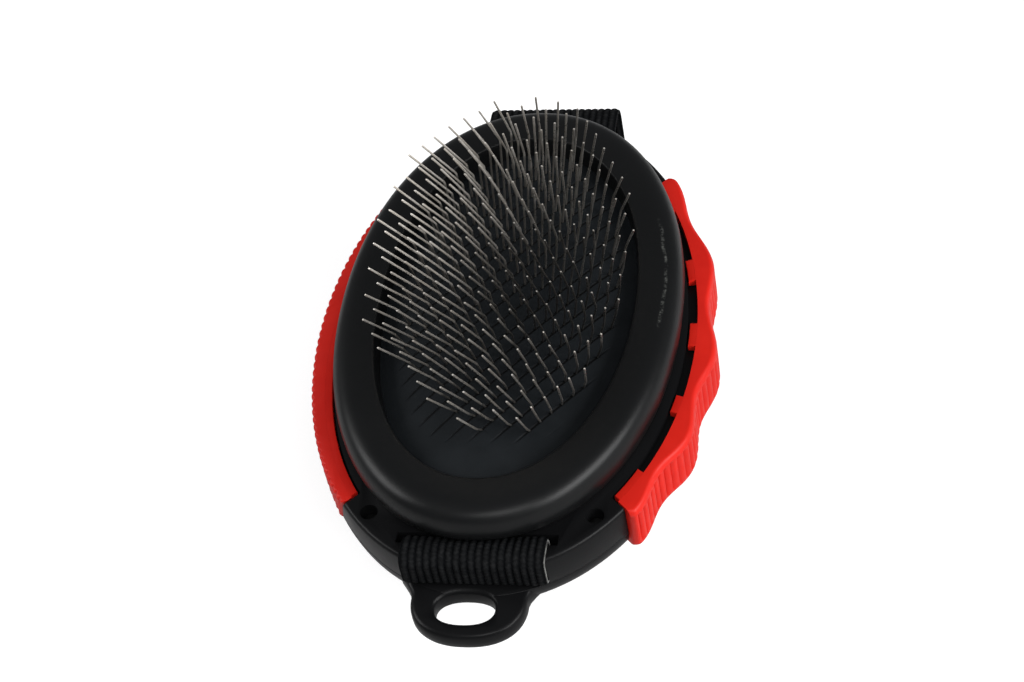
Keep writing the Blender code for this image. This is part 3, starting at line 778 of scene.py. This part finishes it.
def pin_shape(x, y, rng):
    """Points along the wire rooted at x, y, from its foot below the pad to its tip.

    Both parts lean towards the loop, and the whole field fans out a little. Each wire sways."""
    root = Vector((x, y, pad_top(x, y)))
    sway = [rng.gauss(0, 0.016) for _ in range(4)]
    lower = Vector((0.0063 * x + 0.135 + sway[0] * 0.4, 0.0111 * y - 0.426 + sway[1] * 0.4, 1.0))
    fan = max(0.0, (y - 0.8 * x - 5) / 40)
    inner = min(1.0, max(0.0, x / 12 + 1))
    far_end = min(1.0, max(0.0, (y + 0.6 * x - 12) / 25))
    lean = 0.16 * inner * far_end - 0.15 * fan * (1 - inner)
    upper_y = 0.0005 * y - 0.579 + 0.19 * fan + sway[3]
    upper = Vector((0.0103 * x - 0.033 + lean + sway[2], upper_y, 1.0))
    upper.normalize()
    foot = root - lower * 2.0
    lower.normalize()
    bend = root + lower * LOWER_LENGTH
    turn = [foot, root + lower * 4, bend - lower * 0.9, bend - lower * 0.3 + upper * 0.03,
            bend + upper * 0.3 - lower * 0.03, bend + upper * 0.9]
    return [*turn, bend + upper * (UPPER_LENGTH - 0.2), bend + upper * UPPER_LENGTH]


def in_field(x, y):
    """Whether a root lies in the pins' oval, which is cut short at the loop's end."""
    inside = ((x - FIELD_X) / FIELD_A) ** 2 + ((y - FIELD_Y) / FIELD_B) ** 2 < 1
    return inside and y > -34.3 and y + 1.2 * x > -38.2


def pin_rows():
    """The roots, row by row. A row of one or two wires is left out."""
    rows = []
    for j in range(-9, 18):
        row = []
        for i in range(-30, 31):
            x = ROW_ANCHOR[0] + ROW_STEP[0] * i
            y = ROW_ANCHOR[1] + ROW_STEP[1] * i + ROW_PITCH * j
            if in_field(x, y):
                row.append((x, y))
        if len(row) > 2:
            rows.append(row)
    return rows


def wire_rings(line):
    """Rings of points round a bent wire, with a rounded tip."""
    rings = []
    for i, at in enumerate(line):
        along = (line[min(i + 1, len(line) - 1)] - line[max(i - 1, 0)]).normalized()
        side = along.cross(Vector((1, 0, 0))).normalized()
        other = along.cross(side)
        radius = WIRE_R * (0.55 if i == len(line) - 1 else 1)
        turns = [2 * math.pi * k / WIRE_SIDES for k in range(WIRE_SIDES)]
        rings.append([at + (side * math.cos(t) + other * math.sin(t)) * radius for t in turns])
    return rings


def make_pins():
    """All wires as one piece, with each point's place along its wire as "reach" for the steel."""
    rng = random.Random(7)
    bm = bmesh.new()
    wires = [wire_rings(pin_shape(x, y, rng)) for row in pin_rows() for x, y in row]
    for rings in wires:
        add_loft(bm, rings)
    pins = to_object("wire_pins", bm, STEEL, 50)
    reach = pins.data.attributes.new("reach", "FLOAT", "POINT")
    count = len(wires[0])
    for i, value in enumerate(reach.data):
        value.value = i // WIRE_SIDES % count / (count - 1)
    names = [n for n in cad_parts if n.startswith("pin_row_")]
    done(pins, "brush", "pin_steel", *names)


# ---------- strap ----------

def span_point(k):
    """A point of the span's middle line: from the rear lane, at 0, to the front lane, at 1."""
    turn = math.pi * k
    c, s = math.cos(turn), math.sin(turn)
    y = math.copysign(abs(c) ** (2 / SPAN_POWER), c) * (LANE_Y - SPAN_FLAT)
    return y + math.copysign(SPAN_FLAT, c), SPAN_Z * s ** (2 / SPAN_POWER)


def span_path(first, last, steps):
    return [span_point(first + (last - first) * i / steps) for i in range(steps + 1)]


def corner(centre, radius, start, end, parts=8):
    """An arc from one angle to another, in degrees."""
    turns = [math.radians(start + (end - start) * i / parts) for i in range(parts + 1)]
    return [(centre[0] + radius * math.cos(t), centre[1] + radius * math.sin(t)) for t in turns]


def strap_drift(y):
    """The webbing lies a little askew: to one side at the rear."""
    return 0.7 + 0.016 * y


def path_normals(path):
    """The normal on the right-hand side at each point of a line in y and z."""
    normals = []
    for i in range(len(path)):
        a, b = path[max(0, i - 1)], path[min(len(path) - 1, i + 1)]
        run = math.hypot(b[0] - a[0], b[1] - a[1])
        normals.append(((b[1] - a[1]) / run, -(b[0] - a[0]) / run))
    return normals


def even_path(path, step):
    """The same line with a point every step."""
    line, left = [path[0]], step
    for a, b in zip(path, path[1:]):
        run = math.hypot(b[0] - a[0], b[1] - a[1])
        at = left
        while at < run:
            line.append((a[0] + (b[0] - a[0]) * at / run, a[1] + (b[1] - a[1]) * at / run))
            at += step
        left = at - run
    line.append(path[-1])
    return line


def settle(u, y, z):
    """Moves a point of the front turn, where most of the webbing's width sits lower."""
    near = max(0.0, 1 - abs(y + 56.6) / 1.9) * max(0.0, min(1.0, (z - 8) / 4))
    across = min(1.0, max(0.0, (12.0 - u) / 7.0)) * (1 - 0.25 * math.sin(u * 0.42 + 1.0))
    return y - 0.45 * near * across, z - 0.55 * near * across


def fold_depth(y, z):
    """The crease pressed into the webbing where it turns over the front edge."""
    far = math.hypot(y + FRONT_FACE_Y + 0.56, z - FRONT_TOP_Z + 0.44)
    return 0.8 * math.exp(-((far / 0.75) ** 2))


def webbing(name, path, width, thickness, material, ribs, rib_height):
    """A woven ribbon along a line in the YZ plane, ribbed lengthwise, with its UV map in mm."""
    path = even_path(path, 0.5)
    half = thickness / 2
    across = []
    count = ribs * 6
    for i in range(count + 1):
        u = -width / 2 + SELVEDGE_W + (width - 2 * SELVEDGE_W) * i / count
        rise = abs(math.sin(math.pi * ribs * i / count)) ** 0.6
        across.append((u, half - rib_height * (1 - rise)))
    section = [(-width / 2 + 0.12, half * 0.55), *across, (width / 2 - 0.12, half * 0.55)]
    underside = [(u, -h) for u, h in reversed(section)]
    section = [*section, (width / 2, 0.0), *underside, (-width / 2, 0.0)]
    bm = bmesh.new()
    layer = bm.loops.layers.uv.new("UVMap")
    loops, distance, last = [], 0.0, path[0]
    for (y, z), (ny, nz) in zip(path, path_normals(path)):
        distance += math.hypot(y - last[0], z - last[1])
        last = (y, z)
        x = strap_drift(y)
        pinch = fold_depth(y, z)
        ring = []
        for u, h in section:
            h = max(0.2, h - pinch) if h > 0.2 else h
            sy, sz = settle(u, y + ny * h, z + nz * h)
            ring.append((bm.verts.new(place((x + u, sy, sz))), u, distance))
        loops.append(ring)
    for lower, upper in zip(loops, loops[1:]):
        for i in range(len(section)):
            j = (i + 1) % len(section)
            corners = (lower[i], lower[j], upper[j], upper[i])
            face = bm.faces.new([c[0] for c in corners])
            for loop, c in zip(face.loops, corners):
                loop[layer].uv = (c[1], c[2])
    bm.faces.new([c[0] for c in loops[0]])
    bm.faces.new([c[0] for c in loops[-1]])
    return to_object(name, bm, material, 60)


def strap_path():
    """The strap's middle line: from its fold over the rear bar, across the palm, to the front."""
    front_y, front_z = FRONT_FACE_Y + 1.0, FRONT_TOP_Z
    path = [(REAR_LANE_Y, FOLD_Z), (REAR_LANE_Y, 4), (REAR_LANE_Y, 9)]
    path += corner((REAR_LANE_Y - 3.4, REAR_TOP_Z - 3.4), 3.4, 0, 90)
    path += corner((LANE_Y + 2.4, REAR_TOP_Z - 2.4), 2.4, 90, 180)
    path += [(LANE_Y, 8), (LANE_Y, 3)]
    path += span_path(0.0, 0.46, 44)[:-1]
    path += [(y, SPAN_Z) for y in (20, 18, 0, -18, -20)]
    path += span_path(0.54, 1.0, 44)[1:]
    path += [(-LANE_Y, 3), (-LANE_Y, 8)]
    path += corner((-LANE_Y - 1.5, front_z - 1.5), 1.5, 0, 90)
    path += corner((-front_y + 1.5, front_z - 1.5), 1.5, 90, 180)
    path += [(-front_y, 8.6)]
    path += corner((-front_y + 1.1, 7.05), 1.1, 180, 270)
    path += [(-59.4, 5.95)]
    return path


def beside_span(first, last, steps, offset):
    """A line that runs outside the span at this distance."""
    base = span_path(first, last, steps)
    line = []
    for (y, z), (ny, nz) in zip(base, path_normals(base)):
        sign = 1 if ny * (y - SPAN_FLAT) + nz * z > 0 else -1
        line.append((y + sign * ny * offset, z + sign * nz * offset))
    return line


def tail_path():
    """The free end: a curve that leaves the fold straight down, then follows the span."""
    line = beside_span(0.2, 0.322, 24, TAIL_OFFSET)
    start = (REAR_LANE_Y, FOLD_Z)
    run = math.hypot(line[0][0] - start[0], line[0][1] - start[1])
    step = math.hypot(line[1][0] - line[0][0], line[1][1] - line[0][1])
    slope = [(line[1][i] - line[0][i]) / step for i in (0, 1)]
    lead = []
    for k in range(30):
        t = k / 30
        far = t * t * (3 - 2 * t)
        pull, push = run * t * (1 - t) ** 2, -run * t * t * (1 - t)
        y = start[0] + (line[0][0] - start[0]) * far + push * slope[0]
        z = start[1] + (line[0][1] - start[1]) * far - pull + push * slope[1]
        lead.append((y, z))
    return lead + line


def edge_thread(name, path, u, body, node):
    """The thin pale thread along one selvedge."""
    path = even_path(path, 0.8)
    rings = []
    for (y, z), (ny, nz) in zip(path, path_normals(path)):
        x = strap_drift(y) + u
        sy, sz = settle(u, y, z)
        ring = []
        for i in range(6):
            t = 2 * math.pi * i / 6
            h = 0.22 * math.sin(t)
            ring.append((x + 0.2 * math.cos(t), sy + ny * h, sz + nz * h))
        rings.append(ring)
    thread = loft(name, rings, SELVEDGE)
    done(thread, body, "strap_black", node)


def make_strap():
    path = strap_path()
    size = (STRAP_W, STRAP_T, WEBBING, STRAP_RIBS, STRAP_RIB_HEIGHT)
    strap = webbing("strap", path, *size)
    done(strap, "brush", "strap_black", "strap_webbing")
    front = [point for point in path[:-2] if point[0] < -LANE_Y + 0.5 and point[1] > 4]
    edge_thread("strap_edge_thread", front, STRAP_W / 2 - 0.05, "brush", "strap_webbing")
    free_end = webbing("strap_free_end", tail_path(), *size)
    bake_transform(free_end)
    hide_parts("strap_tail")
    near = STRAP_T / 2 + PATCH_GAP + PATCH_T / 2
    far = TAIL_OFFSET - near
    soft = webbing("fastener_loops", beside_span(0.19, 0.345, 30, near), PATCH_W, PATCH_T,
                   fastener_cloth("fastener_nap", 1400), PATCH_RIBS, 0.05)
    done(soft, "brush", "fastener_black", "loop_patch")
    hard = webbing("fastener_hooks", beside_span(0.205, 0.315, 24, far), PATCH_W, PATCH_T,
                   fastener_cloth("fastener_teeth", 2200), PATCH_RIBS, 0.12)
    done(hard, "tail", "fastener_black", "hook_patch")


# ---------- stage ----------

AIM = (0, 0, 0.03)  # the middle of the brush, in metres


def area_light(name, at, size, power):
    """A rectangular light in metres that points at AIM."""
    light = bpy.data.lights.new(name, "AREA")
    light.shape = "RECTANGLE"
    light.size, light.size_y = size
    light.energy = power
    obj = bpy.data.objects.new(name, light)
    bpy.context.scene.collection.objects.link(obj)
    obj.location = at
    obj.rotation_mode = "QUATERNION"
    obj.rotation_quaternion = (Vector(AIM) - Vector(at)).to_track_quat("-Z", "Y")


def make_stage():
    """White paper that gives its own light to camera rays only, and three soft lights."""
    bpy.ops.mesh.primitive_plane_add(size=6, location=(0, 0, 0))
    floor = bpy.context.object
    floor.name = "floor"
    paper = Shader("floor_paper", (0.6, 0.6, 0.6), 0.8, Specular_IOR_Level=0.1)
    paper.set("Emission Color", (1.0, 1.0, 1.0, 1.0))
    seen = paper.node("ShaderNodeLightPath").outputs["Is Camera Ray"]
    paper.link(paper.product(seen, 0.62), paper.main.inputs["Emission Strength"])
    paper.bump(paper.noise(600, 2), 0.0001, 0.2)
    tone = paper.ramp(paper.noise(4, 2), [(0.3, (0.59, 0.59, 0.59)), (0.7, (0.61, 0.61, 0.61))])
    paper.link(tone, paper.main.inputs["Base Color"])
    floor.data.materials.append(paper.material)
    world = bpy.data.worlds.new("studio")
    bpy.context.scene.world = world
    world.use_nodes = True
    background = world.node_tree.nodes["Background"]
    background.inputs["Color"].default_value = (0.95, 0.97, 1.0, 1)
    background.inputs["Strength"].default_value = 0.2
    bpy.context.scene.view_settings.view_transform = "Standard"
    area_light("right_soft", (0.85, -0.28, 0.55), (0.9, 0.5), 12.5)
    area_light("left_soft", (-0.80, 0.0, 0.60), (0.5, 0.4), 4.2)
    area_light("front_soft", (0.15, -0.70, 0.95), (0.5, 0.35), 4)


def make_camera():
    """The photo's camera. Its axes and place were solved from the ovals of the shell and head."""
    camera = bpy.data.cameras.new("camera")
    camera.sensor_width = 36
    camera.lens = 88.34
    camera.clip_start, camera.clip_end = 0.02, 20
    obj = bpy.data.objects.new("camera", camera)
    bpy.context.scene.collection.objects.link(obj)
    right = (0.98119, 0.13029, -0.14243)
    up = (-0.00304, 0.74819, 0.66348)
    back = (0.19300, -0.65057, 0.73451)
    at = (0.10293, -0.34982, 0.4030 + DROP * MM)
    obj.matrix_world = Matrix([*zip(right, up, back, at), (0, 0, 0, 1)])
    bpy.context.scene.camera = obj


def dress_kept_nodes():
    """Materials for the CAD nodes that stay as they are."""
    foam, oxide = foam_cells(), screw_steel()
    for name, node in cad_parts.items():
        if name == "foam_cushion" or name.startswith("screw"):
            node.data.materials.clear()
            node.data.materials.append(foam if name == "foam_cushion" else oxide)


make_camera()
make_stage()
make_base()
make_cover()
make_head()
make_grip("grip_bumps", 1, "grip_right")
make_grip("grip_plain", -1, "grip_left")
make_pad()
make_pins()
make_strap()
dress_kept_nodes()
